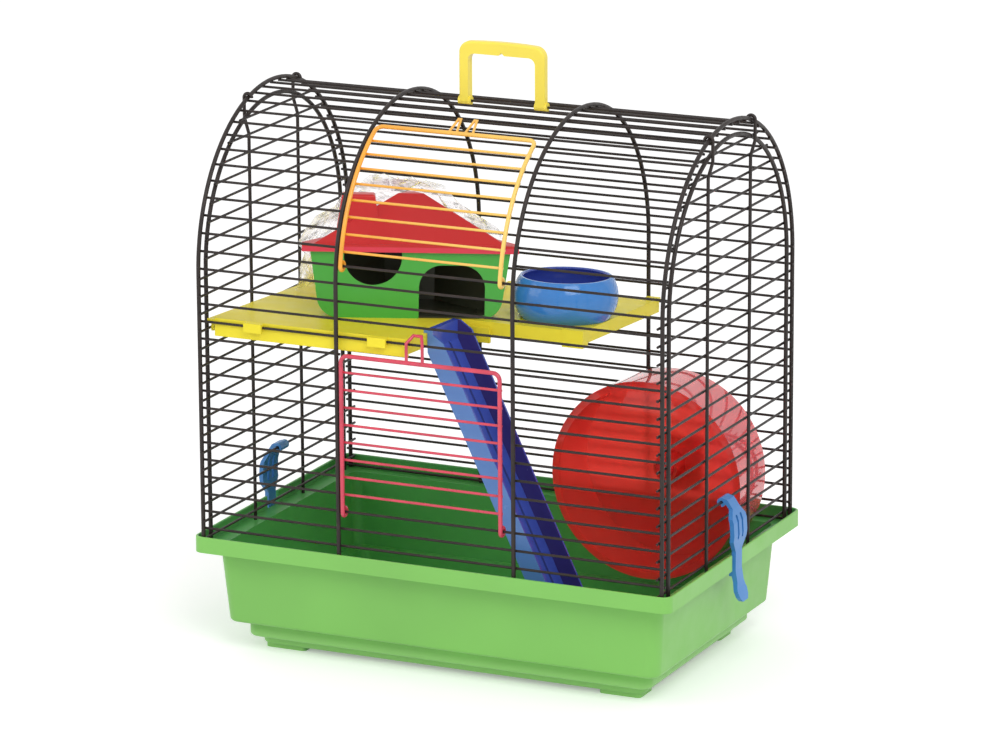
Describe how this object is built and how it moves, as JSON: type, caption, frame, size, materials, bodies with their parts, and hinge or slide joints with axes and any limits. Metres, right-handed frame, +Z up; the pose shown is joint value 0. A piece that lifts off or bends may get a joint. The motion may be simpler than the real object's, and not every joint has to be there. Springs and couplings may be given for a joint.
{
  "type": "hamster cage",
  "caption": "Wire-topped small-pet cage: barrel vault on a deep tray, two hinged doors, end clips and handle, with deck, ramp, house, bowl and wheel inside.",
  "frame": {"origin": "middle of the footprint, on the surface the tray stands on", "axes": "+Z up, +X along the cage to its right end, -Y towards the front with the doors"},
  "size_m": [0.3732, 0.236, 0.428],
  "materials": {
    "tray_plastic": "satin moulded",
    "wire_coat": "gloss powder coat",
    "upper_door_coat": "gloss powder coat",
    "lower_door_coat": "gloss powder coat",
    "handle_plastic": "satin moulded",
    "deck_plastic": "gloss, slightly see-through",
    "ramp_plastic": "satin moulded",
    "house_plastic": "satin moulded",
    "roof_plastic": "satin moulded",
    "bowl_plastic": "gloss moulded",
    "wheel_plastic": "gloss, see-through",
    "bracket_plastic": "satin moulded",
    "clip_plastic": "satin moulded",
    "film": "clear crumpled film"
  },
  "bodies": {
    "tray": {"tray": "tray_plastic"},
    "wire_top": {"end_hoop_left": "wire_coat", "end_hoop_right": "wire_coat", "middle_hoop_left": "wire_coat", "middle_hoop_right": "wire_coat", "full_wires": "wire_coat", "door_bay_wires_left": "wire_coat", "door_bay_wires_right": "wire_coat", "left_inner_arch": "wire_coat", "left_uprights": "wire_coat", "left_end_wires": "wire_coat", "right_inner_arch": "wire_coat", "right_uprights": "wire_coat", "right_end_wires": "wire_coat", "handle": "handle_plastic", "deck": "deck_plastic", "wheel_bracket": "bracket_plastic", "wheel_axle_cap": "bracket_plastic", "nesting_film": "film"},
    "upper_door": {"upper_door_frame": "upper_door_coat", "upper_door_bars": "upper_door_coat"},
    "lower_door": {"lower_door_frame": "lower_door_coat", "lower_door_bars": "lower_door_coat"},
    "left_clip": {"clip_left": "clip_plastic"},
    "right_clip": {"clip_right": "clip_plastic"},
    "wheel": {"running_wheel": "wheel_plastic"},
    "ramp": {"ramp": "ramp_plastic"},
    "house": {"house_body": "house_plastic"},
    "roof": {"house_roof": "roof_plastic"},
    "bowl": {"bowl": "bowl_plastic"}
  },
  "joints": [
    {"name": "wire_top_lift", "type": "slide", "parent": "tray", "child": "wire_top", "axis": [0, 0, 1], "range_m": [0, 0.3]},
    {"name": "upper_door_hinge", "type": "hinge", "parent": "wire_top", "child": "upper_door", "pos_m": [0, -0.11076, 0.28858], "axis": [1, 0, 0], "range_deg": [0, 150]},
    {"name": "lower_door_hinge", "type": "hinge", "parent": "wire_top", "child": "lower_door", "pos_m": [0, -0.1118, 0.11591], "axis": [1, 0, 0], "range_deg": [0, 150]},
    {"name": "left_clip_swing", "type": "hinge", "parent": "wire_top", "child": "left_clip", "pos_m": [-0.1706, 0, 0.12208], "axis": [0, 1, 0], "range_deg": [0, 60]},
    {"name": "right_clip_swing", "type": "hinge", "parent": "wire_top", "child": "right_clip", "pos_m": [0.1706, 0, 0.12208], "axis": [0, -1, 0], "range_deg": [0, 60]},
    {"name": "wheel_spin", "type": "hinge", "parent": "wire_top", "child": "wheel", "pos_m": [0.0916, 0.08, 0.1145], "axis": [0, 1, 0], "continuous": true},
    {"name": "ramp_tilt", "type": "hinge", "parent": "wire_top", "child": "ramp", "pos_m": [-0.0185, -0.057, 0.23826], "axis": [0, -0.9985, 0.0551], "range_deg": [0, 15]},
    {"name": "house_lift", "type": "slide", "parent": "wire_top", "child": "house", "axis": [0, 0.0551, 0.9985], "range_m": [0, 0.02]},
    {"name": "roof_lift", "type": "slide", "parent": "house", "child": "roof", "axis": [0, 0.0551, 0.9985], "range_m": [0, 0.015]},
    {"name": "bowl_lift", "type": "slide", "parent": "wire_top", "child": "bowl", "axis": [0, 0.0551, 0.9985], "range_m": [0, 0.014]}
  ]
}
